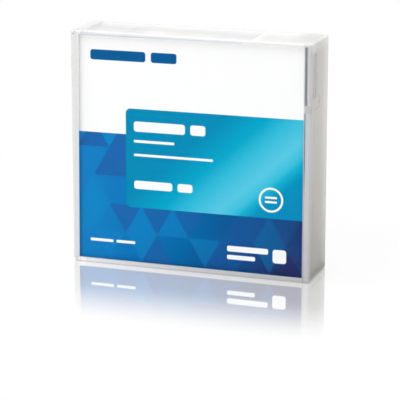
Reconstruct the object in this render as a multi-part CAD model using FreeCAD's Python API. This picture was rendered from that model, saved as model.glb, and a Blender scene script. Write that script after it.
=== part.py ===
"""Half-inch data tape cartridge in its hinged storage case.

Millimetres. +X is the width, +Y runs from the front cover to the back wall and +Z is up.
The origin is the centre of the underside of the closed, standing case.
The cartridge stands in the case with its label edge up, its tape door low on the left
and its upper shell towards the front cover.
"""

import FreeCAD, Part

import math
import os

from FreeCAD import Vector

X_AXIS = Vector(1, 0, 0)
Y_AXIS = Vector(0, 1, 0)
Z_AXIS = Vector(0, 0, 1)

# ---------------------------------------------------------------- driving dimensions
# Cartridge, outside
cart_width = 105.4
cart_length = 102.0
cart_thick = 21.5

# Storage case
case_wall = 1.3
side_gap = 1.6            # cartridge to the case's left and right walls
end_gap = 0.7             # cartridge to the case's floor and ceiling
front_space = 1.75        # front cover to the cartridge, holds the card and its lips
rear_space = 0.85         # cartridge to the back wall, holds the support ribs
case_corner = 0.9         # radius of the case's corners, seen from the front
case_inner_corner = 0.7
case_edge = 0.7           # radius of the case's other outer edges
lid_depth = 4.2           # depth of the front cover with its rim
part_gap = 0.2            # gap between the cover's rim and the tray's wall
tongue_height = 1.5       # the tray's wall reaches this far into the cover's rim
tongue_thick = 0.6
tongue_gap = 0.1

# Case hinge
barrel_radius = 1.2
pin_radius = 0.6
pin_play = 0.05
ear_thick = 1.6
ear_skin = 0.5            # the ear's pin hole stops this far below its outer face
neck_reach = 0.5          # the ear's neck passes the hinge axis by this much
hinge_gap = 0.3

# Latch tab and thumb recess on the right wall
latch_height = 79.5       # height of the tab's middle
latch_width = 5.0
latch_reach = 9.0
latch_thick = 0.6
latch_play = 0.15
detent_width = 1.6
detent_length = 3.0
detent_sink = 0.2         # the detent stays this far below the wall's outer face
finger_recess = 0.3
finger_reach = 8.0
thumb_depth = 0.3         # shallow recess across the meeting edges, where a thumb pulls the cover
thumb_from_front = 1.3
thumb_width = 6.0
thumb_length = 19.0
thumb_corner = 1.5
thumb_above = 0.6         # from the latch tab to the recess

# Ribs in the case
rib_thick = 1.2
rib_play = 0.1
back_rib_spacing = 62.0
back_rib_length = 66.0
side_rib_spacing = 52.0
side_rib_play = 0.3
rib_inset = 3.0           # ribs stop this far inside the cartridge's faces
side_lip = 1.5            # the right lips reach this far over the card

# Insert card
card_thick = 0.3
card_play = 0.05
card_left = 1.25          # card's edge to the case's inner walls
card_right = 1.9
card_low = 0.5
card_high = 0.2
lip_width = 8.0
lip_reach = 3.0
lip_thick = 0.7
lip_spacing = 60.0

# Cartridge shells
shell_side = 2.0
shell_face = 1.8
cut_past = 0.1            # a window's cut runs this far past the wall
shell_corner = 2.5
shell_edge = 0.8
lead_chamfer = 1.4
panel_width = 64.0
panel_length = 58.0
panel_depth = 0.4
panel_corner = 4.0
grip_count = 6
grip_pitch = 3.6
grip_width = 1.4
grip_depth = 0.5
grip_reach = 11.0
grip_start = 9.0          # from the label edge to the first groove
notch_reach = 1.1
notch_length = 5.0
notch_from_label = 21.0
notch_from_middle = 2.0
datum_radius = 2.2
datum_depth = 0.9
datum_spacing = 56.0
datum_from_lead = 6.5
label_left = 2.7
label_width = 78.0
label_height = 17.0
label_recess = 0.4
label_thick = 0.15
label_margin = 0.3
arrow_width = 7.0         # moulded arrow that points at the leading edge
arrow_length = 6.0
arrow_from_lead = 7.0
arrow_depth = 0.3

# Reel
reel_side_gap = 1.0
reel_wall = 1.0
reel_wall_gap = 1.0
flange_thick = 1.2
tape_width = 12.65
tape_play = 0.15
pack_margin = 1.5
pack_play = 0.05
hub_radius = 22.0
hub_wall = 1.8
weld_collar = 1.1         # sloped edge of the flange's hole, where it is welded on the hub
hub_floor = 1.6
hub_hole = 18.0
hub_hole_play = 0.4
hub_recess = 0.85
seat_width = 1.6
seat_height = 0.7
seat_play = 0.1
drive_tooth = 1.0
drive_ring = 2.2
plate_hole = 5.5
plate_thick = 0.8
plate_play = 0.6
tooth_count = 60
tooth_land = 0.1          # flat tip of a tooth, as a share of its half pitch

# Reel brake
brake_radius = 17.5
brake_ring = 4.0
brake_tooth = 1.1
brake_root = 0.9
brake_play = 0.2
brake_disc = 1.4
brake_travel = 2.0
post_radius = 4.0
post_play = 0.1
key_width = 1.6
key_play = 0.2
socket_wall = 2.4
socket_depth = 5.0
spring_wire = 0.9
spring_play = 0.3
spring_turns = 4
foot_count = 3
foot_width = 4.0
foot_depth = 1.9
foot_radius = 16.0
foot_play = 0.2
arm_thick = 0.75
arm_play = 0.05
lifter_radius = 8.0
pad_radius = 3.0

# Tape door
door_thick = 1.4
door_length = 17.0
door_play = 0.2
door_travel = 13.0
window_width = 16.0
window_length = 13.5
window_start = 2.6        # from the leading edge
door_rail = 0.8
door_rail_height = 1.2
door_spring_radius = 1.1
door_spring_wire = 0.35
door_spring_turns = 7
door_spring_length = 18.6
door_corner = 0.8
door_groove_count = 3
door_groove_pitch = 2.2
door_groove_width = 1.0
door_groove_length = 10.0
door_groove_depth = 0.4
door_groove_start = 5.0   # from the door's lower end
spring_stop = 1.2
spring_stop_depth = 3.3   # from the shells' meeting plane

# Leader pin
pin_inset = 7.7           # from the cartridge's left side
pin_from_lead = 8.5
leader_radius = 1.5
leader_end_radius = 3.0
leader_end_thick = 1.0
leader_play = 0.1
clip_gap = 0.1
clip_thick = 0.25
clip_width = 0.9
pocket_wall = 1.0
pocket_height = 1.5
sleeve_thick = 0.7
sleeve_slit = 0.8
tape_thick = 0.15

# Write-protect tab
protect_window = 12.0
protect_height = 7.0
protect_from_side = 6.7
protect_thick = 1.5
protect_play = 0.2
protect_nub = 5.0
protect_overlap = 1.0     # the tab's plate reaches this far past the window
protect_travel = 6.0
protect_rail = 1.2
protect_rail_hold = 1.0    # the rail reaches this far under the tab's plate
protect_groove_count = 3
protect_groove_pitch = 1.3
protect_groove_width = 0.6
protect_groove_depth = 0.4

# Cartridge memory
memory_length = 14.0
memory_height = 10.0
memory_thick = 0.8
memory_gap = 6.0          # from the wall round the reel to the board
memory_chip_radius = 2.2
memory_chip_thick = 0.5
memory_play = 0.1
memory_turn = -135.0      # about the reel's axis, from the right side
cheek_thick = 1.2
cheek_hold = 1.5          # the cheeks hold this much of the board's ends

# Shell screws
screw_radius = 0.8
screw_play = 0.05
screw_head = 1.9
screw_head_height = 1.3
screw_sink = 2.4
screw_length = 9.0
screw_drive = 2.0
screw_drive_corner = 0.3
boss_radius = 3.2
boss_from_side = 5.0
boss_from_label = 8.5
boss_from_lead = 5.0
boss_inset = 16.7         # the boss beside the leader pin stands this far in

# ---------------------------------------------------------------- derived places
case_width = cart_width + 2 * (side_gap + case_wall)
case_depth = cart_thick + front_space + rear_space + 2 * case_wall
case_height = cart_length + 2 * (end_gap + case_wall)
right = case_width / 2
left = -right
front = -case_depth / 2
back = case_depth / 2
parting = front + lid_depth
hinge_x = left + barrel_radius
hinge_y = front + barrel_radius

cart_front = front + case_wall + front_space
cart_back = cart_front + cart_thick
cart_mid = (cart_front + cart_back) / 2
cart_lead = case_wall + end_gap
cart_label = cart_lead + cart_length
reel_z = cart_lead + cart_length / 2
cart_right = cart_width / 2
cart_left = -cart_right

upper_inner = cart_front + shell_face
lower_inner = cart_back - shell_face
inner_right = cart_right - shell_side
inner_left = -inner_right
inner_lead = cart_lead + shell_side
inner_label = cart_label - shell_side

flange_radius = min(cart_length, cart_width) / 2 - shell_side - reel_side_gap
pack_radius = flange_radius - pack_margin
reel_wall_radius = flange_radius + reel_wall_gap
memory_radius = reel_wall_radius + reel_wall + memory_gap
flange_back = lower_inner - seat_height - seat_play
flange_front = flange_back - flange_thick
top_flange_back = flange_front - tape_width - tape_play
floor_front = flange_back - hub_floor
hub_inner = hub_radius - hub_wall
boss_back = cart_back - hub_recess
tooth_root = boss_back - drive_tooth

brake_root_y = floor_front - brake_root
button_tips = brake_root_y - brake_play
button_root = button_tips - brake_tooth
button_front = button_root - brake_disc
socket_radius = post_radius + post_play
socket_outer = socket_radius + socket_wall
spring_radius = socket_outer + spring_play + spring_wire / 2
arm_front = floor_front - arm_play - arm_thick

pin_x = cart_left + pin_inset
pin_z = cart_lead + pin_from_lead
door_left = inner_left + door_play
door_right = door_left + door_thick
door_low = inner_lead + door_play
door_high = door_low + door_length


# ---------------------------------------------------------------- helpers
def block(x0, x1, y0, y1, z0, z1):
    return Part.makeBox(x1 - x0, y1 - y0, z1 - z0, Vector(x0, y0, z0))


def disc(radius, y0, y1, x=0.0, z=reel_z):
    """A cylinder along Y, centred on the reel's axis unless a place is given."""
    return Part.makeCylinder(radius, y1 - y0, Vector(x, y0, z), Y_AXIS)


def ring(r_in, r_out, y0, y1, x=0.0, z=reel_z):
    return disc(r_out, y0, y1, x, z).cut(disc(r_in, y0, y1, x, z))


def post(radius, z0, z1, x, y):
    """A cylinder along Z."""
    return Part.makeCylinder(radius, z1 - z0, Vector(x, y, z0), Z_AXIS)


def edges_along(shape, axis):
    found = []
    for edge in shape.Edges:
        if isinstance(edge.Curve, Part.Line) and abs(edge.Curve.Direction.dot(axis)) > 0.999:
            found.append(edge)
    return found


def rounded(shape, axis, radius):
    """A block with its four edges along one axis rounded."""
    return shape.makeFillet(radius, edges_along(shape, axis))


def mirrored_x(shape):
    return shape.mirror(Vector(0, 0, 0), X_AXIS)


def turned(shape, degrees):
    """A copy turned about the reel's axis."""
    copy = shape.copy()
    copy.rotate(Vector(0, 0, reel_z), Y_AXIS, degrees)
    return copy


def joined(shapes):
    return shapes[0].multiFuse(shapes[1:]).removeSplitter()


def revolved(outline):
    """A body turned about the reel's axis, from its (radius, y) corners."""
    points = [Vector(radius, y, reel_z) for radius, y in outline]
    face = Part.Face(Part.makePolygon(points + points[:1]))
    return face.revolve(Vector(0, 0, reel_z), Y_AXIS, 360)


def prism(outline, y0, y1):
    """A straight body along Y, from its (x, z) corners."""
    points = [Vector(x, y0, z) for x, z in outline]
    face = Part.Face(Part.makePolygon(points + points[:1]))
    return face.extrude(Vector(0, y1 - y0, 0))


def coil(radius, wire, turns, length):
    """A compression spring that stands on the origin along +Z."""
    height = length - wire
    helix = Part.makeHelix(height / turns, height, radius)
    section = Part.Wire(Part.Circle(Vector(radius, 0, 0), Y_AXIS, wire / 2).toShape())
    spring = Part.Wire(helix).makePipeShell([section], True, True)
    spring.translate(Vector(0, 0, wire / 2))
    return spring


def crown_grooves(r_in, r_out, root_y, tip_y, first_degrees):
    """The V grooves between the radial teeth of a face crown, as one compound cutter.

    A groove's root is at root_y. It widens with the radius, and past tip_y.
    """
    share = math.tan(math.pi / tooth_count) * (1 - tooth_land)
    overshoot = 1.5
    mouth_y = root_y + (tip_y - root_y) * overshoot
    sections = []
    for radius in (r_in - 0.5, r_out + 0.5):
        half = radius * share * overshoot
        corners = [
            Vector(radius, root_y, reel_z),
            Vector(radius, mouth_y, reel_z - half),
            Vector(radius, mouth_y, reel_z + half),
        ]
        sections.append(Part.makePolygon(corners + corners[:1]))
    groove = Part.makeLoft(sections, True, True)
    step = 360.0 / tooth_count
    return [turned(groove, first_degrees + step * index) for index in range(tooth_count)]


def three_ways(shape):
    return [turned(shape, 360.0 / foot_count * index) for index in range(foot_count)]


# ---------------------------------------------------------------- storage case
def case_outside():
    """The closed case as one solid block with softened edges."""
    whole = (left, right, front, back, 0, case_height)
    seen_front = rounded(block(*whole), Y_AXIS, case_corner)
    seen_side = rounded(block(*whole), X_AXIS, case_edge)
    # The edge along the hinge follows its barrel.
    barrel_corner = block(left, 0, front, 0, 0, case_height)
    barrel_corner = barrel_corner.makeFillet(barrel_radius, [
        edge for edge in edges_along(barrel_corner, Z_AXIS)
        if edge.CenterOfMass.x < left / 2 and edge.CenterOfMass.y < front / 2
    ])
    standing = rounded(block(*whole), Z_AXIS, case_edge)
    standing = standing.cut(block(left, 0, front, 0, 0, case_height)).fuse(barrel_corner)
    return seen_front.common(seen_side).common(standing)


def case_shell():
    """The closed case as one thin-walled box."""
    hollow = block(left + case_wall, right - case_wall, front + case_wall, back - case_wall,
                   case_wall, case_height - case_wall)
    return case_outside().cut(rounded(hollow, Y_AXIS, case_inner_corner))


def both_ends(shape):
    """A piece at the foot of the case and its mirror image at the top."""
    return [shape, shape.mirror(Vector(0, 0, case_height / 2), Z_AXIS)]


def tongue(thick, high, low_y, start):
    """The three-sided strip along the tray's inner wall that the cover's rim goes round."""
    inner = case_wall
    outer = case_wall - thick
    reach_y = low_y + high
    outside = block(start, right - outer, low_y, reach_y, outer, case_height - outer)
    inside = block(start - 1, right - inner, low_y - 1, reach_y + 1, inner, case_height - inner)
    return outside.cut(inside)


def latch_block(grow, depth, y0, y1):
    return block(right - depth, right, y0, y1, latch_height - latch_width / 2 - grow,
                 latch_height + latch_width / 2 + grow)


def thumb_recess():
    low = latch_height + latch_width / 2 + thumb_above
    recess_front = front + thumb_from_front
    recess = block(right - thumb_depth, right + 1, recess_front, recess_front + thumb_width,
                   low, low + thumb_length)
    return rounded(recess, X_AXIS, thumb_corner)


def case_tray():
    behind = block(left - 1, right + 1, parting + part_gap / 2, back + 1, -1, case_height + 1)
    # The left wall reaches on to the hinge barrel, but leaves room for the cover to fold right back.
    beside_barrel = block(left - 1, left + case_wall, hinge_y + barrel_radius + hinge_gap, parting + 1,
                          -1, case_height + 1)
    tray = case_shell().common(behind.fuse(beside_barrel))
    tongue_start = hinge_x + barrel_radius + 2 * hinge_gap
    strip = tongue(tongue_thick, tongue_height + part_gap / 2 + 1, parting - tongue_height, tongue_start)
    pieces = [tray, strip]

    ear = joined([
        post(barrel_radius, 0, ear_thick, hinge_x, hinge_y),
        block(hinge_x - neck_reach, hinge_x + barrel_radius, hinge_y, parting + 1, 0, ear_thick),
    ])
    pieces += both_ends(ear.common(case_outside()))

    rib_front = cart_front + rib_inset
    rib_back = cart_back - rib_inset
    for side in (-1, 1):
        rib_x = side * back_rib_spacing / 2
        x0 = rib_x - rib_thick / 2
        x1 = rib_x + rib_thick / 2
        pieces.append(block(x0, x1, rib_front, rib_back, case_wall / 2, cart_lead))
        pieces.append(block(x0, x1, rib_front, rib_back, cart_label + rib_play, case_height - case_wall / 2))
        pieces.append(block(x0, x1, cart_back + rib_play, back - case_wall / 2,
                            reel_z - back_rib_length / 2, reel_z + back_rib_length / 2))
        rib_z = reel_z + side * side_rib_spacing / 2
        side_rib = block(cart_right + side_rib_play, right - case_wall / 2, rib_front, rib_back,
                         rib_z - rib_thick / 2, rib_z + rib_thick / 2)
        pieces += [side_rib, mirrored_x(side_rib)]
    tray = joined(pieces)

    pin_hole = post(pin_radius + pin_play, ear_skin, ear_thick + 1, hinge_x, hinge_y)
    for hole in both_ends(pin_hole):
        tray = tray.cut(hole)
    seat_end = parting + latch_reach + latch_play
    tray = tray.cut(latch_block(latch_play, latch_thick + tongue_gap, parting - 1, seat_end))
    detent = block(right - case_wall, right - detent_sink, parting + latch_reach - detent_length, seat_end,
                   latch_height - detent_width / 2 + latch_play, latch_height + detent_width / 2 - latch_play)
    return tray.fuse(detent).removeSplitter().cut(thumb_recess())


def case_lid():
    rim_end = parting - part_gap / 2
    ahead = block(left - 1, right + 1, front - 1, rim_end, -1, case_height + 1)
    lid = case_shell().common(ahead)
    lid = lid.cut(block(left - 1, left + case_wall, front - 1, parting + 1, -1, case_height + 1))
    rebate = tongue(tongue_thick + tongue_gap, tongue_height + tongue_gap + 1,
                    parting - tongue_height - tongue_gap, hinge_x)
    lid = lid.cut(rebate)
    # Round the hinge ears the cover is cut back, so that it clears them as it turns.
    room_radius = barrel_radius + hinge_gap
    room_high = ear_thick + hinge_gap / 2
    ear_room = post(room_radius, -1, room_high, hinge_x, hinge_y)
    ear_room = ear_room.fuse(block(hinge_x - 1, hinge_x + room_radius, hinge_y, parting + 1, -1, room_high))
    for room in both_ends(ear_room):
        lid = lid.cut(room)
    barrel_low = ear_thick + hinge_gap / 2
    pieces = [lid, post(barrel_radius, barrel_low, case_height - barrel_low, hinge_x, hinge_y)]
    pieces += both_ends(post(pin_radius, ear_skin + pin_play, barrel_low + 1, hinge_x, hinge_y))

    lip_front = front + case_wall + card_thick + 2 * card_play
    lip_back = lip_front + lip_thick
    for side in (-1, 1):
        lip_x = side * lip_spacing / 2
        lip = block(lip_x - lip_width / 2, lip_x + lip_width / 2, lip_front, lip_back,
                    case_wall / 2, case_wall + lip_reach)
        pieces += both_ends(lip)
        lip_z = reel_z + side * side_rib_spacing / 2
        pieces.append(block(right - case_wall - card_right - side_lip, right - case_wall / 2,
                            lip_front, lip_back, lip_z - lip_width / 2, lip_z + lip_width / 2))
    pieces.append(latch_block(0, latch_thick, rim_end - 1, parting + latch_reach))
    lid = joined(pieces)

    slot = block(right - case_wall, right + 1, parting + latch_reach - detent_length - latch_play,
                 parting + latch_reach + 1, latch_height - detent_width / 2, latch_height + detent_width / 2)
    lid = lid.cut(slot)
    lid = lid.cut(thumb_recess())
    recess = block(right - finger_reach, right + 1, front - 1, front + finger_recess,
                   latch_height - latch_width / 2, latch_height + latch_width / 2)
    return lid.cut(recess)


def insert_card():
    card_front = front + case_wall + card_play
    return block(left + case_wall + card_left, right - case_wall - card_right, card_front,
                 card_front + card_thick, case_wall + card_low, case_height - case_wall - card_high)


# ---------------------------------------------------------------- cartridge shells
def cartridge_outside():
    whole = (cart_left, cart_right, cart_front, cart_back, cart_lead, cart_label)
    outside = rounded(block(*whole), Y_AXIS, shell_corner)
    outside = outside.common(rounded(block(*whole), X_AXIS, shell_edge))
    outside = outside.common(rounded(block(*whole), Z_AXIS, shell_edge))
    reach = lead_chamfer
    for face_y, inward in ((cart_front, 1), (cart_back, -1)):
        corners = [
            Vector(cart_left - 1, face_y - inward, cart_lead - 1),
            Vector(cart_left - 1, face_y + inward * (reach + 1), cart_lead - 1),
            Vector(cart_left - 1, face_y - inward, cart_lead + reach + 1),
        ]
        wedge = Part.Face(Part.makePolygon(corners + corners[:1])).extrude(Vector(cart_width + 2, 0, 0))
        outside = outside.cut(wedge)
    return outside


def cavity():
    return block(inner_left, inner_right, upper_inner, lower_inner, inner_lead, inner_label)


def boss_places():
    side = cart_right - boss_from_side
    top = cart_label - boss_from_label
    foot = cart_lead + boss_from_lead
    return [(-side, top), (side, top), (side, foot), (cart_left + boss_inset, foot)]


def shell_inside(face, y0, y1):
    """What both shells carry inside, between y0 and y1; face is the inner face's y, one of the two."""
    inward = 1 if face == y0 else -1
    pieces = []

    # The wall round the reel is left out at the corner where the tape runs to its pin.
    wall = ring(reel_wall_radius, reel_wall_radius + reel_wall, y0, y1).common(cavity())
    wall = wall.cut(block(cart_left, cart_left / 2, y0 - 1, y1 + 1, cart_lead, reel_z + 1))
    pieces.append(wall)

    for x, z in boss_places():
        pieces.append(disc(boss_radius, y0, y1, x, z).common(cavity()))

    pocket_radius = leader_end_radius + clip_gap + clip_thick + clip_gap
    pocket_y = sorted((face, face + inward * pocket_height))
    pocket = ring(pocket_radius, pocket_radius + pocket_wall, *pocket_y, pin_x, pin_z)
    pocket_outer = pocket_radius + pocket_wall
    mouth = block(cart_left, pin_x - leader_radius, *pocket_y, pin_z - pocket_outer, pin_z + pocket_outer)
    pieces.append(pocket.cut(mouth))

    rail_y = sorted((face, face + inward * door_rail_height))
    rail_x = door_right + door_play
    rail = block(rail_x, rail_x + door_rail, *rail_y, inner_lead, door_high + door_travel)
    pin_way = block(rail_x - 1, rail_x + door_rail + 1, *rail_y, pin_z - pocket_radius, pin_z + pocket_radius)
    pieces.append(rail.cut(pin_way))

    stop_z = door_high + door_spring_length
    stop_y = sorted((cart_mid, cart_mid - inward * spring_stop_depth))
    pieces.append(block(inner_left - shell_side / 2, spring_x() + door_spring_radius, *stop_y, stop_z,
                        stop_z + spring_stop))

    rail_top = inner_label - 2 * protect_play - protect_thick
    protect_y = sorted((face, cart_mid - inward * (protect_height / 2 - protect_rail_hold)))
    x0 = tab_low() - protect_travel - protect_play
    pieces.append(block(x0, tab_high() + protect_play, *protect_y, rail_top - protect_rail, rail_top))
    return pieces


def shell_half(face, y0, y1, extras):
    """One moulded half: its outside, its hollow, what it carries, and the openings in its side walls."""
    half = cartridge_outside().common(block(cart_left, cart_right, y0, y1, cart_lead, cart_label))
    hollow_y = sorted((face, cart_mid))
    half = half.cut(block(inner_left, inner_right, *hollow_y, inner_lead, inner_label))
    half = joined([half] + shell_inside(face, *hollow_y) + extras)

    window_low = cart_lead + window_start
    door_window = block(cart_left - 1, inner_left + cut_past, cart_mid - window_width / 2,
                        cart_mid + window_width / 2, window_low, window_low + window_length)
    protect_x = cart_right - protect_from_side
    protect_hole = block(protect_x - protect_window, protect_x, cart_mid - protect_height / 2,
                         cart_mid + protect_height / 2, inner_label - cut_past, cart_label + 1)
    label_x = cart_left + label_left
    label_seat = block(label_x, label_x + label_width, cart_mid - label_height / 2,
                       cart_mid + label_height / 2, cart_label - label_recess, cart_label + 1)
    return half.cut(door_window).cut(protect_hole).cut(label_seat)


def grip_cuts(face, inward):
    """Cross grooves near the two sides of the label end, for fingers."""
    groove_y = sorted((face - inward, face + inward * grip_depth))
    cuts = []
    for index in range(grip_count):
        z = cart_label - grip_start - grip_pitch * index
        groove = block(cart_right - grip_reach, cart_right + 1, *groove_y, z - grip_width, z)
        cuts += [groove, mirrored_x(groove)]
    return cuts


def insert_arrow():
    """Flat triangle on the upper face that points the way the cartridge goes into a drive."""
    tip = cart_lead + arrow_from_lead
    outline = [(0, tip), (arrow_width / 2, tip + arrow_length), (-arrow_width / 2, tip + arrow_length)]
    return prism(outline, cart_front - 1, cart_front + arrow_depth)


def key_bar(half_length, half_width, y0, y1):
    return block(-half_length, half_length, y0, y1, reel_z - half_width, reel_z + half_width)


def upper_shell():
    post_end = button_front - brake_travel - spring_play
    centre_post = disc(post_radius, upper_inner, post_end)
    key = key_bar(socket_outer, key_width / 2, upper_inner, post_end)
    shell = shell_half(upper_inner, cart_front, cart_mid, [centre_post, key])
    for cut in grip_cuts(cart_front, 1):
        shell = shell.cut(cut)
    panel = block(-panel_width / 2, panel_width / 2, cart_front - 1, cart_front + panel_depth,
                  reel_z - panel_length / 2, reel_z + panel_length / 2)
    shell = shell.cut(rounded(panel, Y_AXIS, panel_corner)).cut(insert_arrow())
    for x, z in boss_places():
        shell = shell.cut(disc(screw_radius + screw_play, upper_inner, cart_mid, x, z))
    return shell


def memory_slot_cheeks():
    """Two slotted cheeks on the lower shell that hold the ends of the memory board."""
    cheeks = []
    for side in (-1, 1):
        end = side * memory_length / 2
        z0, z1 = sorted((end - side * cheek_hold, end + side * cheek_thick))
        cheek = block(memory_radius - cheek_thick, memory_radius + memory_thick + cheek_thick,
                      lower_inner - memory_height / 2, lower_inner, reel_z + z0, reel_z + z1)
        cheeks.append(cheek)
    half = memory_length / 2 + memory_play
    slot = block(memory_radius - memory_play, memory_radius + memory_thick + memory_play,
                 upper_inner, lower_inner, reel_z - half, reel_z + half)
    return [turned(cheek.cut(slot), memory_turn) for cheek in cheeks]


def lower_shell():
    seat = ring(hub_hole, hub_hole + seat_width, lower_inner - seat_height, lower_inner)
    shell = shell_half(lower_inner, cart_mid, cart_back, [seat] + memory_slot_cheeks())
    shell = shell.cut(disc(hub_hole, lower_inner - seat_height - 1, cart_back + 1))
    for cut in grip_cuts(cart_back, -1):
        shell = shell.cut(cut)
    for x, z in boss_places():
        shell = shell.cut(disc(screw_head + 2 * screw_play, cart_back - screw_sink, cart_back + 1, x, z))
        shell = shell.cut(disc(screw_radius + screw_play, cart_mid - 1, cart_back, x, z))
    notch_z = cart_label - notch_from_label
    notch = block(cart_right - notch_reach, cart_right + 1, cart_mid + notch_from_middle, cart_back + 1,
                  notch_z - notch_length, notch_z)
    shell = shell.cut(notch).cut(mirrored_x(notch))
    datum_z = cart_lead + datum_from_lead
    round_datum = disc(datum_radius, cart_back - datum_depth, cart_back + 1, datum_spacing / 2, datum_z)
    long_left = -datum_spacing / 2 - datum_radius
    long_right = -datum_spacing / 2 + datum_radius
    long_datum = joined([
        disc(datum_radius, cart_back - datum_depth, cart_back + 1, long_left, datum_z),
        disc(datum_radius, cart_back - datum_depth, cart_back + 1, long_right, datum_z),
        block(long_left, long_right, cart_back - datum_depth, cart_back + 1,
              datum_z - datum_radius, datum_z + datum_radius),
    ])
    return shell.cut(round_datum).cut(long_datum)


def cartridge_label():
    x = cart_left + label_left
    return block(x + label_margin, x + label_width - label_margin, cart_mid - label_height / 2 + label_margin,
                 cart_mid + label_height / 2 - label_margin, cart_label - label_recess,
                 cart_label - label_recess + label_thick)


def shell_screws():
    screws = []
    for x, z in boss_places():
        seat = cart_back - screw_sink
        head = disc(screw_head, seat, seat + screw_head_height, x, z)
        half = screw_drive / 2
        socket = seat + screw_head_height / 2
        drive = block(x - half, x + half, socket, seat + 2 * screw_head_height, z - half, z + half)
        drive = rounded(drive, Y_AXIS, screw_drive_corner)
        shank = disc(screw_radius, seat - screw_length, seat, x, z)
        screws.append(joined([head.cut(drive), shank]))
    return Part.makeCompound(screws)


# ---------------------------------------------------------------- reel
def boss_outline_radius():
    return hub_hole - hub_hole_play


def foot_blocks(grow, y0, y1):
    half = foot_width / 2 + grow
    foot = block(foot_radius - foot_depth / 2 - grow, foot_radius + foot_depth / 2 + grow, y0, y1,
                 reel_z - half, reel_z + half)
    return three_ways(foot)


def reel_hub():
    """Hub, lower flange and drive teeth in one moulding, with the brake teeth on its floor."""
    drive_out = boss_outline_radius()
    drive_in = drive_out - drive_ring
    hub = revolved([
        (0, floor_front),
        (hub_inner, floor_front),
        (hub_inner, top_flange_back),
        (hub_radius, top_flange_back),
        (hub_radius, flange_front),
        (flange_radius, flange_front),
        (flange_radius, flange_back),
        (drive_out, flange_back),
        (drive_out, boss_back),
        (drive_in, boss_back),
        (drive_in, tooth_root),
        (0, tooth_root),
    ])
    crown_front = brake_root_y - brake_tooth
    hub = hub.fuse(ring(brake_radius - brake_ring, brake_radius, crown_front, floor_front))
    brake_cut = crown_grooves(brake_radius - brake_ring, brake_radius, brake_root_y, crown_front, 0)
    drive_cut = crown_grooves(drive_in, drive_out, tooth_root, boss_back, 0)
    hub = hub.cut(Part.makeCompound(brake_cut))
    hub = hub.cut(Part.makeCompound(drive_cut))
    gap_half = foot_width / 2 + 2 * foot_play
    arm_gap = block(0, brake_radius + 1, crown_front - 1, floor_front, reel_z - gap_half, reel_z + gap_half)
    for cut in three_ways(arm_gap) + foot_blocks(foot_play, floor_front - 1, boss_back + 1):
        hub = hub.cut(cut)
    return hub


def upper_flange():
    return revolved([
        (hub_inner, top_flange_back),
        (flange_radius, top_flange_back),
        (flange_radius, top_flange_back - flange_thick),
        (hub_inner + weld_collar, top_flange_back - flange_thick),
        (hub_inner, top_flange_back - flange_thick + weld_collar),
    ])


def tape_pack():
    side = tape_play / 2
    return ring(hub_radius + pack_play, pack_radius, top_flange_back + side, flange_front - side)


def hub_plate():
    outer = boss_outline_radius() - drive_ring - plate_play
    return ring(plate_hole, outer, tooth_root, tooth_root + plate_thick)


def brake_button():
    """Toothed disc with a keyed socket in front and a pad that meets the release plate."""
    button = revolved([
        (0, button_front),
        (socket_radius, button_front),
        (socket_radius, button_front - socket_depth),
        (socket_outer, button_front - socket_depth),
        (socket_outer, button_front),
        (brake_radius, button_front),
        (brake_radius, button_tips),
        (brake_radius - brake_ring, button_tips),
        (brake_radius - brake_ring, button_root),
        (pad_radius, button_root),
        (pad_radius, arm_front - arm_play),
        (0, arm_front - arm_play),
    ])
    half_step = 180.0 / tooth_count
    grooves = crown_grooves(brake_radius - brake_ring, brake_radius, button_root, button_tips, half_step)
    button = button.cut(Part.makeCompound(grooves))
    key_way = key_bar(socket_outer + 1, key_width / 2 + key_play, button_front - socket_depth - 1,
                      button_front)
    return button.cut(key_way)


def brake_spring():
    spring = coil(spring_radius, spring_wire, spring_turns, button_front - upper_inner)
    spring.rotate(Vector(0, 0, 0), X_AXIS, -90)
    spring.translate(Vector(0, upper_inner, reel_z))
    return spring


def release_plate():
    arm_back = floor_front - arm_play
    arm = block(0, foot_radius + foot_depth / 2, arm_front, arm_back,
                reel_z - foot_width / 2, reel_z + foot_width / 2)
    pieces = [disc(lifter_radius, arm_front, arm_back)]
    pieces += three_ways(arm)
    pieces += foot_blocks(0, arm_front, boss_back)
    return joined(pieces)


# ---------------------------------------------------------------- tape end and door
def spring_x():
    return inner_left + door_play + door_spring_radius + door_spring_wire / 2


def access_door():
    door = block(door_left, door_right, upper_inner + door_play, lower_inner - door_play, door_low, door_high)
    door = rounded(door, X_AXIS, door_corner)
    half = door_groove_length / 2
    for index in range(door_groove_count):
        low = door_low + door_groove_start + door_groove_pitch * index
        door = door.cut(block(door_left - 1, door_left + door_groove_depth, cart_mid - half, cart_mid + half,
                              low, low + door_groove_width))
    return door


def door_spring():
    spring = coil(door_spring_radius, door_spring_wire, door_spring_turns, door_spring_length)
    spring.translate(Vector(spring_x(), cart_mid, door_high))
    return spring


def leader_pin():
    y0 = upper_inner + leader_play
    y1 = lower_inner - leader_play
    return joined([
        disc(leader_radius, y0, y1, pin_x, pin_z),
        disc(leader_end_radius, y0, y0 + leader_end_thick, pin_x, pin_z),
        disc(leader_end_radius, y1 - leader_end_thick, y1, pin_x, pin_z),
    ])


def pin_clips():
    r_in = leader_end_radius + clip_gap
    outer = r_in + clip_thick
    mouth = block(pin_x - outer, pin_x - leader_radius, cart_front, cart_back, pin_z - outer, pin_z + outer)
    clips = []
    for y0 in (upper_inner + leader_play, lower_inner - leader_play - clip_width):
        clips.append(ring(r_in, outer, y0, y0 + clip_width, pin_x, pin_z).cut(mouth))
    return Part.makeCompound(clips)


def tape_span():
    """The y range of the tape between the flanges."""
    side = tape_play / 2
    return top_flange_back + side, flange_front - side


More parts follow.
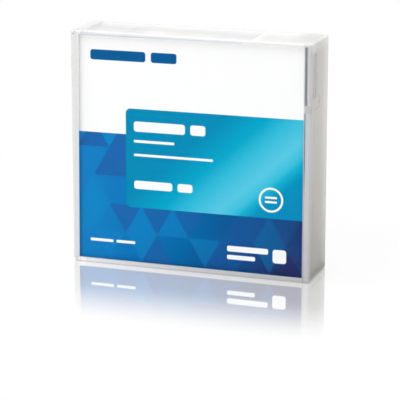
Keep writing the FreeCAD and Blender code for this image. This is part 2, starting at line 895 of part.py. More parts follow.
def tape_clip():
    y0, y1 = tape_span()
    sleeve_in = leader_radius + pack_play
    sleeve_out = leader_radius + sleeve_thick
    sleeve = ring(sleeve_in, sleeve_out, y0, y1, pin_x, pin_z)
    slit = block(pin_x, pin_x + sleeve_out, y0 - 1, y1 + 1, pin_z - sleeve_slit / 2, pin_z + sleeve_slit / 2)
    return sleeve.cut(slit)


def leader_tape():
    """The tape's free end, on the line that touches the pack and the pin's sleeve."""
    r_pack = pack_radius + pack_play
    r_pin = leader_radius + sleeve_thick + pack_play
    dx = pin_x
    dz = pin_z - reel_z
    distance = math.hypot(dx, dz)
    towards_pin = math.atan2(dz, dx)
    normal = towards_pin - math.acos((r_pack - r_pin) / distance)
    nx = math.cos(normal)
    nz = math.sin(normal)
    outline = [
        (r_pack * nx, reel_z + r_pack * nz),
        (pin_x + r_pin * nx, pin_z + r_pin * nz),
        (pin_x + (r_pin + tape_thick) * nx, pin_z + (r_pin + tape_thick) * nz),
        ((r_pack + tape_thick) * nx, reel_z + (r_pack + tape_thick) * nz),
    ]
    return prism(outline, *tape_span())


# ---------------------------------------------------------------- small cartridge parts
def tab_nub_high():
    return cart_right - protect_from_side - protect_play


def tab_low():
    return tab_nub_high() - protect_nub - protect_travel - protect_overlap


def tab_high():
    return tab_nub_high() + protect_overlap + protect_play


def write_protect_tab():
    plate_top = inner_label - protect_play
    half = protect_height / 2 + protect_overlap
    plate = block(tab_low(), tab_high(), cart_mid - half, cart_mid + half, plate_top - protect_thick,
                  plate_top)
    nub_half = protect_height / 2 - 2 * protect_play
    nub = block(tab_nub_high() - protect_nub, tab_nub_high(), cart_mid - nub_half, cart_mid + nub_half,
                plate_top - protect_thick, cart_label - 2 * protect_play)
    tab = joined([plate, nub])
    half_groove = protect_groove_width / 2
    nub_top = cart_label - 2 * protect_play
    for index in range(protect_groove_count):
        x = tab_nub_high() - protect_nub / 2 + protect_groove_pitch * (index - (protect_groove_count - 1) / 2)
        tab = tab.cut(block(x - half_groove, x + half_groove, cart_mid - nub_half, cart_mid + nub_half,
                            nub_top - protect_groove_depth, nub_top + 1))
    return tab


def memory_board():
    board = block(memory_radius, memory_radius + memory_thick, lower_inner - memory_play - memory_height,
                  lower_inner - memory_play, reel_z - memory_length / 2, reel_z + memory_length / 2)
    return turned(board, memory_turn)


def memory_chip():
    middle = lower_inner - memory_play - memory_height / 2
    blob = Part.makeCylinder(memory_chip_radius, memory_chip_thick,
                             Vector(memory_radius + memory_thick, middle, reel_z), X_AXIS)
    return turned(blob, memory_turn)


PIECES = {
    "case_tray": case_tray,
    "case_lid": case_lid,
    "insert_card": insert_card,
    "upper_shell": upper_shell,
    "lower_shell": lower_shell,
    "cartridge_label": cartridge_label,
    "shell_screws": shell_screws,
    "reel_hub": reel_hub,
    "upper_flange": upper_flange,
    "tape_pack": tape_pack,
    "hub_plate": hub_plate,
    "brake_button": brake_button,
    "brake_spring": brake_spring,
    "release_plate": release_plate,
    "access_door": access_door,
    "door_spring": door_spring,
    "leader_pin": leader_pin,
    "pin_clips": pin_clips,
    "tape_clip": tape_clip,
    "leader_tape": leader_tape,
    "write_protect_tab": write_protect_tab,
    "memory_board": memory_board,
    "memory_chip": memory_chip,
}

os.makedirs("parts", exist_ok=True)
for name, make in PIECES.items():
    shape = make()
    shape.exportStep(f"parts/{name}.step")
    print(name, len(shape.Solids), round(shape.Volume, 1), shape.isValid())
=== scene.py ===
"""Finishes, floor, light and camera for the data tape cartridge in its hinged storage case.

Metres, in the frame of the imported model: +X is the width, +Y runs from the front cover to the back
wall, +Z is up, and the origin is the centre of the underside of the closed, standing case.
"""

import math

import bmesh
import bpy
from mathutils import Matrix, Vector


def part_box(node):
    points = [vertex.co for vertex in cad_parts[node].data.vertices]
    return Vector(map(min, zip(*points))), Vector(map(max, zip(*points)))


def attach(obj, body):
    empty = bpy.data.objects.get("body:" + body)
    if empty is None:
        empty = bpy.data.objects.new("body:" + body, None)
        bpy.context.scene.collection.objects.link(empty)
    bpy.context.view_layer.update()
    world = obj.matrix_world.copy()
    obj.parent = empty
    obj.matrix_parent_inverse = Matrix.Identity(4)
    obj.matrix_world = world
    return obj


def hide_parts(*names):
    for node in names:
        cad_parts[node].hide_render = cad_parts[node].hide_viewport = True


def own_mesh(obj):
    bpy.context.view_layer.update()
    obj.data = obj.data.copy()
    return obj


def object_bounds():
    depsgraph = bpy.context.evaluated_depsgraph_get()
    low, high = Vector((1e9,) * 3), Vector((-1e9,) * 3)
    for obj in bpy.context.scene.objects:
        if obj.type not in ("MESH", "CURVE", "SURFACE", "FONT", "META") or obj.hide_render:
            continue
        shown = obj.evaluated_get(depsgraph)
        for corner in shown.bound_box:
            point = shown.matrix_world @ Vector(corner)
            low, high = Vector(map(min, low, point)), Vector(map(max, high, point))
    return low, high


MM = 0.001

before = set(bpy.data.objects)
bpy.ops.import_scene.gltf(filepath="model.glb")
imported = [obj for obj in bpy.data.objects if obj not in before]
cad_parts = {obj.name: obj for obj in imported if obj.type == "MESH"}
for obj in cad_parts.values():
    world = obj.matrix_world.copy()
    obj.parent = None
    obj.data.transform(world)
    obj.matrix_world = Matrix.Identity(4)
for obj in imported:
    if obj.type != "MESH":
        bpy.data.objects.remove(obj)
cad_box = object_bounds()

# ---------------------------------------------------------------- places, from the frame
case_low, case_high = (Vector(corner) for corner in cad_box)
card_low, card_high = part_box("insert_card")
label_low, label_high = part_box("cartridge_label")
hub_low, hub_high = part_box("reel_hub")
card_width = card_high.x - card_low.x
reel_z = (hub_low.z + hub_high.z) / 2
front_wall_back = card_low.y - 0.03 * MM
label_print_end = label_high.x - 3.3 * MM
LATCH_LOW = 76.0 * MM      # the band of the latch tab, on the right wall
LATCH_HIGH = 79.3 * MM


def paint(red, green, blue):
    """A colour as it shows on a screen, from 0 to 255, turned into the renderer's linear values."""
    linear = []
    for level in (red, green, blue):
        share = level / 255
        linear.append(share / 12.92 if share <= 0.04045 else ((share + 0.055) / 1.055) ** 2.4)
    return (*linear, 1.0)


# ---------------------------------------------------------------- shader arithmetic
class Signal:
    """The output of a shader node. Arithmetic on it adds Math nodes."""

    def __init__(self, finish, output):
        self.finish = finish
        self.output = output

    def math(self, operation, *others):
        return self.finish.node("ShaderNodeMath", {"operation": operation}, [self, *others])

    def __add__(self, other):
        return self.math("ADD", other)

    def __radd__(self, other):
        return self.math("ADD", other)

    def __sub__(self, other):
        return self.math("SUBTRACT", other)

    def __rsub__(self, other):
        return self.finish.node("ShaderNodeMath", {"operation": "SUBTRACT"}, [other, self])

    def __mul__(self, other):
        return self.math("MULTIPLY", other)

    def __rmul__(self, other):
        return self.math("MULTIPLY", other)

    def __truediv__(self, other):
        return self.math("DIVIDE", other)

    def __abs__(self):
        return self.math("ABSOLUTE")

    def least(self, other):
        return self.math("MINIMUM", other)

    def most(self, other):
        return self.math("MAXIMUM", other)

    def root(self):
        return self.math("SQRT")

    def floor(self):
        return self.math("FLOOR")

    def fraction(self):
        return self.math("FRACT")

    def clamped(self):
        return self.finish.node("ShaderNodeClamp", {}, [self])

    def past(self, edge, soft=0.15 * MM):
        """0 below the edge and 1 above it, with a narrow soft step."""
        return ((self - edge) / soft + 0.5).clamped()

    def within(self, low, high, soft=0.15 * MM):
        """1 between two edges and 0 outside them."""
        return self.past(low, soft) * (1 - self.past(high, soft))


class Finish:
    """A material whose nodes are added one by one."""

    def __init__(self, name):
        self.material = bpy.data.materials.new(name)
        self.material.use_nodes = True
        self.start(self.material.node_tree)

    def start(self, tree):
        """Empties a node tree and splits the object's own coordinates."""
        self.tree = tree
        self.tree.nodes.clear()
        self.place = self.node("ShaderNodeTexCoord", {}, {}, "Object")
        split = self.node("ShaderNodeSeparateXYZ", {}, [self.place])
        self.x, self.y, self.z = (Signal(self, output) for output in split.output.node.outputs)

    def node(self, kind, settings, inputs, output=0):
        """Adds a node: its settings first, then its inputs, by order or by name."""
        made = self.tree.nodes.new(kind)
        for name, value in settings.items():
            if name == "stops":
                self.set_stops(made.color_ramp, value)
            else:
                setattr(made, name, value)
        named = inputs.items() if isinstance(inputs, dict) else enumerate(inputs)
        for key, value in named:
            if isinstance(value, Signal):
                self.tree.links.new(value.output, made.inputs[key])
            else:
                made.inputs[key].default_value = value
        return Signal(self, made.outputs[output]) if made.outputs else None

    @staticmethod
    def set_stops(ramp, stops):
        while len(ramp.elements) < len(stops):
            ramp.elements.new(1.0)
        for element, (position, colour) in zip(ramp.elements, stops):
            element.position = position
            element.color = colour

    def ramp(self, value, stops):
        return self.node("ShaderNodeValToRGB", {"stops": stops}, [value])

    def mix(self, factor, first, second):
        """The first colour at a factor of 0, and the second at 1."""
        return self.node("ShaderNodeMix", {"data_type": "RGBA"}, {0: factor, 6: first, 7: second}, 2)

    def tint(self, tone, mask, colour, strength=1.0):
        """A tone that turns towards a colour where the mask is 1."""
        return self.mix(mask if strength == 1.0 else mask * strength, tone, colour)

    def noise(self, size, detail=2.0, stretch=(1.0, 1.0, 1.0)):
        """Smooth noise from 0 to 1 whose lumps are about that size, in metres."""
        place = self.node("ShaderNodeMapping", {}, {"Vector": self.place, "Scale": stretch})
        return self.node("ShaderNodeTexNoise", {}, {"Vector": place, "Scale": 1 / size, "Detail": detail})

    def bump(self, height, distance, strength=1.0):
        return self.node("ShaderNodeBump", {}, {"Height": height, "Distance": distance, "Strength": strength})

    def panel(self, across, up, left, right, low, high, corner, soft=0.15 * MM):
        """1 inside a rectangle with rounded corners, and 0 outside it."""
        past_side = abs(across - (left + right) / 2) - ((right - left) / 2 - corner)
        past_end = abs(up - (low + high) / 2) - ((high - low) / 2 - corner)
        out_side = past_side.most(0.0)
        out_end = past_end.most(0.0)
        outside = (out_side * out_side + out_end * out_end).root()
        inside = past_side.most(past_end).least(0.0)
        return 1 - (outside + inside).past(corner, soft)

    def surface(self, **inputs):
        """The main shader. Its inputs go by name, with underscores for spaces."""
        named = {key.replace("_", " "): value for key, value in inputs.items()}
        return self.node("ShaderNodeBsdfPrincipled", {}, named)

    def done(self, shader):
        self.node("ShaderNodeOutputMaterial", {}, {"Surface": shader})
        return self.material


# ---------------------------------------------------------------- finishes of the storage case
WALL = 1.31 * MM          # a little over the thickness of the case's walls
WALL_STEP = 0.1 * MM      # soft step from one wall's tone to the next
FROST_LAYER = 0.62        # share of light that one surface of a frosted wall stops
CLEAR_LAYER = 0.002       # the same where the card touches the wall and shows through it
SLANT_X = 0.54 * MM       # how far the clear area leans to the right through the front wall
SLANT_Z = 0.41 * MM       # and how far it leans up
CARD_LEAN = 0.0107        # the clear area's left edge leans to the right as it rises
LABEL_LEAN = 0.008        # the strip over the card rises to the right
HINGE_STRIP = 4.8 * MM    # width of the thicker plastic along the hinge
BEVEL = 1.1 * MM          # size of the bright corner between the top and the right wall

FROST = paint(236, 236, 233)
FRONT_PAINTED_LIGHT = paint(238, 238, 236)       # painted light on the front cover, upper left
FRONT_PAINTED_SHADE = paint(217, 216, 219)        # painted shade on the front cover, lower right
FOOT_PAINTED_LIGHT = paint(252, 252, 250)        # painted light under the card, to the left
FOOT_PAINTED_SHADE = paint(168, 168, 168)         # painted shade under the card, to the right
CARD_SIDE_LIGHT = paint(255, 255, 255)         # painted light along the card's left edge
LATCH_TONE = paint(196, 196, 194)
THUMB_SHADE = paint(214, 204, 208)        # painted shade in the grip recess above the latch
SIDE_LOW_SHADE = paint(190, 189, 184)          # painted shade on the right wall, towards its foot
SIDE_FOOT_SHADE = paint(160, 156, 154)         # painted shade on the right wall, last millimetres of its foot
SIDE_HIGHLIGHT = paint(255, 255, 252)         # painted highlight on the right wall, along its upper edge
TOP_FRONT_LIGHT = paint(255, 255, 254)         # painted light on the top wall, towards the front
TOP_LEFT_SHADE = paint(232, 232, 232)          # painted shade on the top wall, over the hinge
# painted highlight on the rounded corner between the top and the right wall
BEVEL_HIGHLIGHT = paint(255, 255, 253)
ABOVE_CARD_LIGHT = paint(254, 254, 254)        # painted light on the front cover, over the card's upper edge
LABEL_STRIP_LIGHT = paint(244, 249, 254)        # painted light where the cartridge's label lies behind the front cover
LABEL_SHADE = paint(196, 206, 213)       # shaded line under that label
CARTRIDGE_SHADE = paint(112, 121, 132)   # painted shade beside the card's right edge, where the cartridge's dark side lies behind the front cover
TOP_LIGHT_STOPS = [             # painted light and shade, from the left end of the top wall to the right end, greyer at the right end
    (0.00, paint(251, 251, 251)),
    (0.75, paint(254, 254, 253)),
    (0.88, paint(253, 253, 251)),
    (0.94, paint(232, 230, 229)),
    (1.00, paint(226, 226, 222)),
]
SIDE_LIGHT_STOPS = [            # painted light and shade, from the front edge of a side wall to the back edge: lighter at both edges
    (0.00, paint(244, 243, 238)),
    (0.12, paint(236, 232, 230)),
    (0.40, paint(240, 237, 231)),
    (0.66, paint(240, 237, 231)),
    (0.72, paint(240, 238, 232)),
    (1.00, paint(246, 245, 240)),
]


def front_tone(finish, across, down):
    """The front cover, with painted light and shade: darker to the lower right, with strips beside and under
    the card.
    """
    # painted shade, darker to the lower right
    shade = across * 0.45 + down * 0.40 + across * down * 0.15
    tone = finish.mix(shade.clamped(), FRONT_PAINTED_LIGHT, FRONT_PAINTED_SHADE)
    # painted light and shade under the card: lighter to the left, darker to the right
    under_card = 1 - finish.z.past(card_low.z - 0.1 * MM)
    tone = finish.tint(tone, under_card * (1 - across * 2).clamped(), FOOT_PAINTED_LIGHT, strength=0.7)
    tone = finish.tint(tone, under_card * across, FOOT_PAINTED_SHADE, strength=0.6)
    # painted light on the frosted strip along the card's left edge
    beside_card_light = finish.x.within(case_low.x + 3.75 * MM, case_low.x + 6 * MM, soft=0.3 * MM)
    tone = finish.tint(tone, beside_card_light * (1 - down * 0.3), CARD_SIDE_LIGHT)
    latch_band = finish.z.within(LATCH_LOW, LATCH_HIGH, soft=0.4 * MM)
    latch_band = latch_band * finish.x.past(card_high.x, soft=0.4 * MM)
    return finish.tint(tone, latch_band, LATCH_TONE, strength=0.6)


def side_tone(finish, depth, down):
    """The right wall, with painted light and shade: lighter at its front and back edges, darker towards its
    foot, bright along its upper edge, with painted shade in the grip recess.
    """
    # painted light and shade across the wall's depth
    tone = finish.ramp(depth, SIDE_LIGHT_STOPS)
    # painted shade in the grip recess above the latch
    thumb_shade = finish.panel(finish.y, finish.z, left=case_low.y + 1.2 * MM, right=case_low.y + 7.4 * MM,
                         low=LATCH_HIGH + 2 * MM, high=case_high.z - 4 * MM,
                         corner=1.5 * MM, soft=1.2 * MM)
    tone = finish.tint(tone, thumb_shade, THUMB_SHADE, strength=0.3)
    # painted shade, darker towards the foot
    tone = finish.tint(tone, (down * 1.4 - 0.42).clamped(), SIDE_LOW_SHADE, strength=0.8)
    # painted highlight along the wall's upper edge
    upper_edge_highlight = finish.z.past(case_high.z - 3.5 * MM, soft=3 * MM)
    tone = finish.tint(tone, upper_edge_highlight, SIDE_HIGHLIGHT, strength=0.95)
    # painted shade along the last millimetres of the foot
    foot_shade = 1 - finish.z.past(2.5 * MM, soft=5 * MM)
    return finish.tint(tone, foot_shade, SIDE_FOOT_SHADE, strength=0.6)


def top_tone(finish, across, depth):
    """The top wall, with painted light and shade: bright towards the front, greyer over the hinge and at the
    right end.
    """
    tone = finish.ramp(across, TOP_LIGHT_STOPS)
    # painted light towards the front
    tone = finish.tint(tone, (1 - depth * 1.3).clamped(), TOP_FRONT_LIGHT)
    # painted shade over the hinge
    return finish.tint(tone, 1 - finish.x.past(case_low.x + 5 * MM, soft=0.5 * MM), TOP_LEFT_SHADE)


def case_tone(finish, front_wall):
    """The milky plastic's colour, with painted light and shade on the front cover, the right wall and the top
    wall, partly standing for the dark cartridge close behind it.
    """
    across = (finish.x - case_low.x) / (case_high.x - case_low.x)
    depth = (finish.y - case_low.y) / (case_high.y - case_low.y)
    down = 1 - finish.z / case_high.z
    side_wall = finish.x.past(case_high.x - WALL, WALL_STEP)
    top_wall = finish.z.past(case_high.z - WALL, WALL_STEP)
    # painted highlight on the rounded corner between the top and the right wall
    bright_bevel = (finish.x.past(case_high.x - BEVEL, soft=0.5 * MM)
             * finish.z.past(case_high.z - BEVEL, soft=0.5 * MM))
    tone = finish.mix(side_wall, FROST, side_tone(finish, depth, down))
    tone = finish.mix(top_wall, tone, top_tone(finish, across, depth))
    tone = finish.tint(tone, bright_bevel, BEVEL_HIGHLIGHT)
    return finish.mix(front_wall, tone, front_tone(finish, across, down))


def case_plastic():
    """Frosted polypropylene: milky, but clear where the printed card lies against it."""
    finish = Finish("frosted_case_plastic")
    front_wall = 1 - finish.y.past(front_wall_back + 0.1 * MM)
    through = (front_wall_back - finish.y) / WALL
    seen_x = finish.x - through * SLANT_X
    seen_z = finish.z - through * SLANT_Z
    over_card = finish.panel(seen_x - finish.z * CARD_LEAN, seen_z,
                             left=card_low.x - 0.09 * MM, right=card_high.x + 10 * MM,
                             low=card_low.z - 0.05 * MM, high=card_high.z - SLANT_Z, corner=0.4 * MM)
    over_card = over_card * (1 - seen_x.past(card_high.x - 0.44 * MM)) * front_wall
    tone = case_tone(finish, front_wall)

    # Over the card's upper edge, painted light and shade: a bright strip with a shaded line, where the
    # cartridge's label lies behind.
    above_card_light = finish.z.past(card_high.z - 0.7 * MM) * front_wall
    above_card_light = above_card_light * finish.x.within(card_low.x + 1 * MM, card_high.x - 0.5 * MM, soft=1 * MM)
    tone = finish.tint(tone, above_card_light, ABOVE_CARD_LIGHT)
    beside_label = finish.x.within(card_low.x + 1 * MM, label_print_end, soft=0.4 * MM) * front_wall
    rise = finish.z - card_high.z - (finish.x - card_low.x) * LABEL_LEAN
    tone = finish.tint(tone, beside_label * rise.past(0.1 * MM), LABEL_STRIP_LIGHT)
    shaded = beside_label * rise.within(-0.4 * MM, 0.03 * MM, soft=0.1 * MM)
    shade_strength = 0.95 - 0.35 * finish.x.past(card_low.x + 38 * MM, soft=20 * MM)
    tone = finish.tint(tone, shaded * shade_strength, LABEL_SHADE)

    # Beside the card's right edge, painted shade: a dark strip where the cartridge's dark side shows through,
    # broken by the latch and fading downwards.
    shade_strip = finish.x.within(card_high.x + 0.1 * MM, card_high.x + 1.3 * MM, soft=0.25 * MM) * front_wall
    over_latch = finish.z.within(LATCH_HIGH, card_high.z + 0.3 * MM, soft=0.6 * MM)
    under_latch = finish.z.within(case_low.z, LATCH_LOW, soft=0.8 * MM)
    under_latch = under_latch * ((finish.z - 30 * MM) / (22 * MM)).clamped().most(0.4)
    narrow = 1 - finish.x.past(card_high.x + 0.7 * MM, soft=0.3 * MM)
    tone = finish.tint(tone, shade_strip * (over_latch * 0.9).most(under_latch * narrow), CARTRIDGE_SHADE)

    cloud = finish.noise(9 * MM, detail=3.0)
    beside_hinge = 1 - finish.x.past(case_low.x + HINGE_STRIP, soft=0.5 * MM)
    over_label = finish.z.past(case_high.z - WALL) * finish.x.within(label_low.x, label_high.x)
    over_label = over_label * (1 - front_wall)
    under_card = 1 - finish.z.past(card_low.z)
    denser = (beside_hinge * 0.22).most(under_card * 0.28)
    opacity = FROST_LAYER + (cloud - 0.5) * 0.08 + denser - over_label * 0.12
    clear = over_card * (1 - shaded)
    grain = finish.noise(0.35 * MM)
    return finish.done(finish.surface(
        Base_Color=tone,
        Roughness=0.46 - 0.1 * clear + (cloud - 0.5) * 0.1,
        Alpha=opacity * (1 - clear) + CLEAR_LAYER * clear,
        Normal=finish.bump(grain * (1 - clear), 0.02 * MM, 0.5),
        IOR=1.49,
    ))


# ---------------------------------------------------------------- print of the insert card
# Places on the card are measured from its lower left corner.
PANEL_LEFT = 23.0 * MM
PANEL_LOW = 25.2 * MM
PANEL_HIGH = 70.3 * MM
PANEL_CORNER = 2.3 * MM
FIELD_HIGH = 58.5 * MM    # upper edge of the blue field
PRINT_TILT = 0.006        # the print rises a little to the right
SHEEN_ANGLE = math.radians(42)
SHEEN_START = -10 * MM
SHEEN_REACH = 60 * MM
TILE = 15 * MM            # edge of one triangular tile
TILE_HEIGHT = TILE * math.sqrt(0.75)
TILE_STRENGTH = 0.8

CARD_WHITE = paint(251, 251, 251)
CARD_BACK = paint(236, 236, 232)
HEADING_BLUE = paint(8, 92, 152)
TILE_LIGHT = paint(16, 134, 198)
TILE_DARK = paint(34, 92, 164)
TEAL_STOPS = [            # along the panel's diagonal sheen
    (0.08, paint(3, 139, 183)),
    (0.30, paint(2, 166, 203)),
    (0.43, paint(54, 189, 218)),
    (0.58, paint(88, 200, 227)),
    (0.66, paint(60, 192, 220)),
    (0.70, paint(20, 177, 209)),
    (0.77, paint(2, 147, 190)),
    (0.92, paint(7, 138, 186)),
]
BLUE_STOPS = [            # from the left edge of the field to the right edge
    (0.00, paint(22, 129, 197)),
    (0.22, paint(10, 118, 186)),
    (0.45, paint(2, 106, 170)),
    (0.65, paint(8, 84, 146)),
    (0.85, paint(24, 68, 126)),
    (1.00, paint(38, 45, 98)),
]
# Plain marks that stand where a card has its print. A bar is given by its left, low, width and
# height, and the ring by its left, low, width and the width of its line, all in millimetres.
HEADING_BARS = [(6.5, 91.4, 26, 4.6), (35.0, 91.4, 12, 4.6)]
PANEL_BARS = [
    (26.8, 60.0, 24, 4.6), (53.3, 60.0, 7, 4.6), (26.8, 55.0, 19, 1.2), (26.8, 48.8, 37, 1.1),
    (26.8, 33.8, 18, 3.8), (47.3, 33.8, 7, 3.8), (87.9, 34.2, 5.4, 0.9), (87.9, 32.2, 5.4, 0.9),
]
FIELD_BARS = [
    (5.5, 8.0, 11, 1.3), (18.0, 8.0, 9, 1.3), (70.5, 8.6, 19, 2.6), (70.5, 5.0, 13, 2.0),
    (91.6, 5.0, 6.2, 6.2),
]
RING = (85.0, 28.0, 11.2, 0.9)


def bars(finish, across, up, places):
    """One mask for a group of bars with narrow round corners."""
    mask = None
    for left, low, width, height in places:
        bar = finish.panel(across, up, left * MM, (left + width) * MM, low * MM, (low + height) * MM,
                           corner=min(height * 0.3, 1.2) * MM)
        mask = bar if mask is None else mask.most(bar)
    return mask


def ring(finish, across, up):
    """The mask of the round mark at the panel's lower right."""
    left, low, width, line = (length * MM for length in RING)
    outer = finish.panel(across, up, left, left + width, low, low + width, corner=width / 2)
    inner = finish.panel(across, up, left + line, left + width - line, low + line, low + width - line,
                         corner=width / 2 - line)
    return outer * (1 - inner)


def tiled_blue(finish, across, up):
    """Blue that darkens to the right, in triangular tiles of slightly different tones."""
    row = up / TILE_HEIGHT
    column = across / TILE - row * 0.5
    half = (column.fraction() + row.fraction()).past(1.0, soft=0.01)
    tile = finish.node("ShaderNodeCombineXYZ", {}, [column.floor(), row.floor(), half])
    chance = finish.node("ShaderNodeTexWhiteNoise", {"noise_dimensions": "3D"}, [tile])
    share = (across / card_width).clamped()
    darker_low = (14 * MM - up).most(0.0) / (80 * MM)
    tone = finish.ramp((share * (darker_low + 0.93)).clamped(), BLUE_STOPS)
    contrast = 1 - share * 0.8
    light = chance.past(0.62, soft=0.02) * contrast
    dark = (1 - chance.past(0.32, soft=0.02)) * contrast
    tone = finish.tint(tone, light, TILE_LIGHT, strength=TILE_STRENGTH)
    return finish.tint(tone, dark, TILE_DARK, strength=TILE_STRENGTH)


def card_print():
    """White card with a teal panel and a blue field."""
    finish = Finish("printed_card")
    across = finish.x - card_low.x
    up = finish.z - card_low.z - across * PRINT_TILT
    along = across * math.sin(SHEEN_ANGLE) - up * math.cos(SHEEN_ANGLE)
    teal = finish.ramp(((along - SHEEN_START) / SHEEN_REACH).clamped(), TEAL_STOPS)
    colour = finish.mix(1 - up.past(FIELD_HIGH), CARD_WHITE, tiled_blue(finish, across, up))
    panel = finish.panel(across, up, PANEL_LEFT, card_width + 10 * MM, PANEL_LOW, PANEL_HIGH, PANEL_CORNER)
    colour = finish.mix(panel, colour, teal)
    colour = finish.tint(colour, bars(finish, across, up, HEADING_BARS), HEADING_BLUE)
    marks = bars(finish, across, up, PANEL_BARS + FIELD_BARS).most(ring(finish, across, up))
    colour = finish.tint(colour, marks, CARD_WHITE)
    printed = 1 - finish.y.past(card_low.y + 0.1 * MM, soft=0.02 * MM)
    fibre = finish.noise(0.25 * MM, detail=3.0)
    return finish.done(finish.surface(
        Base_Color=finish.mix(printed, CARD_BACK, colour),
        Roughness=0.62 - printed * 0.1,
        Normal=finish.bump(fibre, 0.01 * MM, 0.3),
        Specular_IOR_Level=0.0,
    ))


# ---------------------------------------------------------------- finishes of the cartridge
LABEL_MARGIN = 3.5 * MM   # white margin along the label's front
LABEL_WHITE = paint(252, 252, 252)
LABEL_FIELDS = [          # each field runs from its share of the label's length to the next
    (0.00, paint(196, 196, 198)),
    (0.12, paint(184, 170, 218)),
    (0.30, paint(250, 250, 250)),
    (0.42, paint(214, 212, 146)),
    (0.66, paint(250, 250, 250)),
    (0.70, paint(186, 180, 212)),
    (0.958, paint(250, 250, 250)),
]
TAPE_TURNS = 0.25 * MM    # width of one visible ring of wound tape
METAL_STAIN = paint(120, 122, 126)


def moulded(name, colour, roughness=0.5, grain=0.5 * MM, speckle=0.06):
    """Moulded plastic with a fine spark-eroded grain and a little unevenness of tone and gloss."""
    finish = Finish(name)
    cloud = finish.noise(7 * MM, detail=3.0)
    fine = finish.noise(grain)
    darker = tuple(channel * (1 - speckle * 2) for channel in colour[:3]) + (1.0,)
    return finish.done(finish.surface(
        Base_Color=finish.mix(cloud, darker, colour),
        Roughness=roughness + (cloud - 0.5) * 0.12,
        Normal=finish.bump(fine, 0.03 * MM, 0.6),
    ))


def metal(name, colour, roughness, stretch=(1.0, 1.0, 1.0)):
    """Metal with fine lines along its direction of working."""
    finish = Finish(name)
    lines = finish.noise(0.6 * MM, detail=3.0, stretch=stretch)
    cloud = finish.noise(5 * MM)
    return finish.done(finish.surface(
        Base_Color=finish.tint(colour, cloud, METAL_STAIN, strength=0.3),
        Metallic=1.0,
        Roughness=roughness + (lines - 0.5) * 0.15,
        Normal=finish.bump(lines, 0.01 * MM, 0.4),
    ))


def edge_label():
    """Paper label with plain fields of colour along the cartridge's rear edge."""
    finish = Finish("edge_label_paper")
    along = (finish.x - label_low.x) / (label_high.x - label_low.x)
    fields = finish.ramp(along, LABEL_FIELDS)
    fields.output.node.color_ramp.interpolation = "CONSTANT"
    past_margin = finish.y.past(label_low.y + LABEL_MARGIN)
    fibre = finish.noise(0.3 * MM, detail=3.0)
    return finish.done(finish.surface(
        Base_Color=finish.mix(past_margin, LABEL_WHITE, fields),
        Roughness=0.6,
        Normal=finish.bump(fibre, 0.01 * MM, 0.3),
    ))


def wound_tape():
    """Dark magnetic tape, whose turns show as fine rings on the pack's faces."""
    finish = Finish("wound_tape")
    up = finish.z - reel_z
    radius = (finish.x * finish.x + up * up).root()
    across = finish.node("ShaderNodeCombineXYZ", {}, [radius, 0.0, 0.0])
    turns = finish.node("ShaderNodeTexNoise", {}, {"Vector": across, "Scale": 1 / TAPE_TURNS, "Detail": 3.0})
    return finish.done(finish.surface(
        Base_Color=finish.mix(turns, paint(34, 26, 24), paint(62, 50, 46)),
        Roughness=0.3 + turns * 0.15,
        Normal=finish.bump(turns, 0.02 * MM, 0.7),
    ))


def dress(materials):
    """Gives each node's material slots their finish."""
    for names, material in materials:
        for name in names.split():
            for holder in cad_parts[name].material_slots:
                holder.material = material


dress([
    ("case_tray case_lid", case_plastic()),
    ("insert_card", card_print()),
    ("upper_shell lower_shell", moulded("shell_plastic", paint(70, 78, 88), 0.55)),
    ("cartridge_label", edge_label()),
    ("reel_hub", moulded("hub_plastic", paint(214, 216, 214), 0.45)),
    ("upper_flange", moulded("flange_plastic", paint(196, 202, 206), 0.35)),
    ("tape_pack leader_tape", wound_tape()),
    ("hub_plate", metal("plate_steel", paint(176, 178, 182), 0.35, (1.0, 1.0, 0.1))),
    ("brake_button", moulded("brake_plastic", paint(226, 222, 206), 0.5)),
    ("brake_spring door_spring pin_clips", metal("spring_steel", paint(168, 170, 176), 0.28)),
    ("release_plate", moulded("lifter_plastic", paint(232, 230, 222), 0.5)),
    ("access_door", moulded("door_plastic", paint(52, 58, 66), 0.5)),
    ("leader_pin", metal("pin_steel", paint(196, 198, 202), 0.18, (1.0, 0.2, 1.0))),
    ("shell_screws", metal("screw_steel", paint(120, 122, 126), 0.3)),
    ("tape_clip", moulded("clip_plastic", paint(60, 60, 62), 0.4)),
    ("write_protect_tab", moulded("tab_plastic", paint(204, 74, 52), 0.5)),
    ("memory_board", moulded("board", paint(28, 92, 62), 0.5)),
    ("memory_chip", moulded("chip_resin", paint(22, 22, 24), 0.3)),
])


# ---------------------------------------------------------------- coil springs
def live_spring(node, body):
    """A copy of a coil spring, attached to its body in place of the original part."""
    spring = bpy.data.objects.new(node + "_coil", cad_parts[node].data.copy())
    bpy.context.collection.objects.link(spring)
    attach(spring, body)
    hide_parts(node)
    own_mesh(spring)


live_spring("brake_spring", "case")
live_spring("door_spring", "case")


# ---------------------------------------------------------------- floor, light and camera
CAMERA_AZIMUTH = math.radians(19.0)
CAMERA_ELEVATION = math.radians(14.9)
CAMERA_DISTANCE = 0.930
CAMERA_TARGET = Vector((0.64, 0.0, 29.8)) * MM
WHITE = (1.0, 1.0, 1.0, 1.0)
FLOOR_TONE = paint(238, 238, 238)
FLOOR_DROP = 0.05 * MM    # keeps the floor's face clear of the case's underside
FLOOR_GLOW = 0.8          # share of plain white that the floor shows near the case
GLOW_START = 60 * MM      # from there that share rises to the whole
GLOW_LENGTH = 120 * MM
REFLECTION = 0.56         # how strongly the floor mirrors the object near its foot
FADE_START = 23 * MM      # from there the mirror image fades away
FADE_LENGTH = 57 * MM
SOFT_LIGHT = 0.67         # strength of the even light on the object


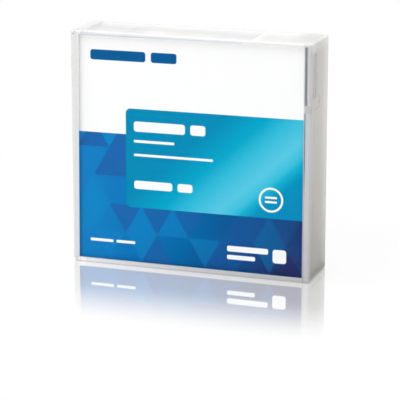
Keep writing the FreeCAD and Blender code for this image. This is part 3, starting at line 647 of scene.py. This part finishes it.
def floor_finish():
    """Polished white floor, whose mirror image of the object fades away from its foot."""
    finish = Finish("white_floor")
    rays = finish.node("ShaderNodeLightPath", {}, {})
    seen = Signal(finish, rays.output.node.outputs["Is Camera Ray"])
    side = (abs(finish.x) - case_high.x).most(0.0)
    ahead = (abs(finish.y) - case_high.y).most(0.0)
    away = (side * side + ahead * ahead).root()
    near = (1 - (away - FADE_START) / FADE_LENGTH).clamped()
    near = near * near * (3 - 2 * near)
    far = ((away - GLOW_START) / GLOW_LENGTH).clamped()
    matt = finish.node("ShaderNodeBsdfDiffuse", {}, {"Color": FLOOR_TONE})
    glow = finish.node("ShaderNodeEmission", {}, {"Color": WHITE, "Strength": 1.0})
    pale = finish.node("ShaderNodeMixShader", {}, [seen * (FLOOR_GLOW + far * (1 - FLOOR_GLOW)), matt, glow])
    mirror = finish.node("ShaderNodeBsdfGlossy", {}, {"Color": WHITE, "Roughness": 0.04})
    return finish.done(finish.node("ShaderNodeMixShader", {}, [near * REFLECTION * seen, pale, mirror]))


def make_floor(size=6.0):
    """A square floor, in metres."""
    mesh = bpy.data.meshes.new("floor")
    form = bmesh.new()
    bmesh.ops.create_grid(form, x_segments=1, y_segments=1, size=size / 2)
    bmesh.ops.translate(form, verts=form.verts, vec=(0, 0, case_low.z - FLOOR_DROP))
    form.to_mesh(mesh)
    form.free()
    mesh.materials.append(floor_finish())
    floor = bpy.data.objects.new("floor", mesh)
    bpy.context.collection.objects.link(floor)


def make_world():
    """Even pale light, and a plain white backdrop wherever it is seen or mirrored."""
    world = bpy.data.worlds.new("studio")
    world.use_nodes = True
    bpy.context.scene.world = world
    sky = Finish.__new__(Finish)
    sky.start(world.node_tree)
    rays = sky.node("ShaderNodeLightPath", {}, {}).output.node.outputs
    seen = Signal(sky, rays["Is Camera Ray"])
    seen = seen.most(Signal(sky, rays["Is Glossy Ray"])).most(Signal(sky, rays["Is Transmission Ray"]))
    soft = sky.node("ShaderNodeBackground", {}, {"Color": WHITE, "Strength": SOFT_LIGHT})
    white = sky.node("ShaderNodeBackground", {}, {"Color": WHITE, "Strength": 1.0})
    shown = sky.node("ShaderNodeMixShader", {}, [seen, soft, white])
    sky.node("ShaderNodeOutputWorld", {}, {"Surface": shown})


def facing(place, aim):
    """The matrix of a lamp or camera that stands at a place and looks back against the aim."""
    return Matrix.Translation(place) @ aim.to_track_quat("Z", "Y").to_matrix().to_4x4()


def make_lamp(name, direction, distance, size, power):
    """A square soft lamp that faces the middle of the case."""
    lamp = bpy.data.lights.new(name, "AREA")
    lamp.shape = "SQUARE"
    lamp.size = size
    lamp.energy = power
    holder = bpy.data.objects.new(name, lamp)
    bpy.context.collection.objects.link(holder)
    aim = Vector(direction).normalized()
    holder.matrix_world = facing((case_low + case_high) / 2 + aim * distance, aim)


def make_camera():
    """The camera, which looks at its target from the front, the right and above."""
    camera = bpy.data.cameras.new("camera")
    camera.lens = 186.6
    camera.sensor_width = 36.0
    holder = bpy.data.objects.new("camera", camera)
    bpy.context.collection.objects.link(holder)
    aim = Vector((math.cos(CAMERA_ELEVATION) * math.sin(CAMERA_AZIMUTH),
                  -math.cos(CAMERA_ELEVATION) * math.cos(CAMERA_AZIMUTH), math.sin(CAMERA_ELEVATION)))
    holder.matrix_world = facing(CAMERA_TARGET + aim * CAMERA_DISTANCE, aim)
    bpy.context.scene.camera = holder


make_floor()
make_world()
make_lamp("key_lamp", direction=(-0.30, -0.38, 1.2), distance=1.6, size=1.3, power=19.0)
make_camera()
bpy.context.scene.view_settings.view_transform = "Standard"
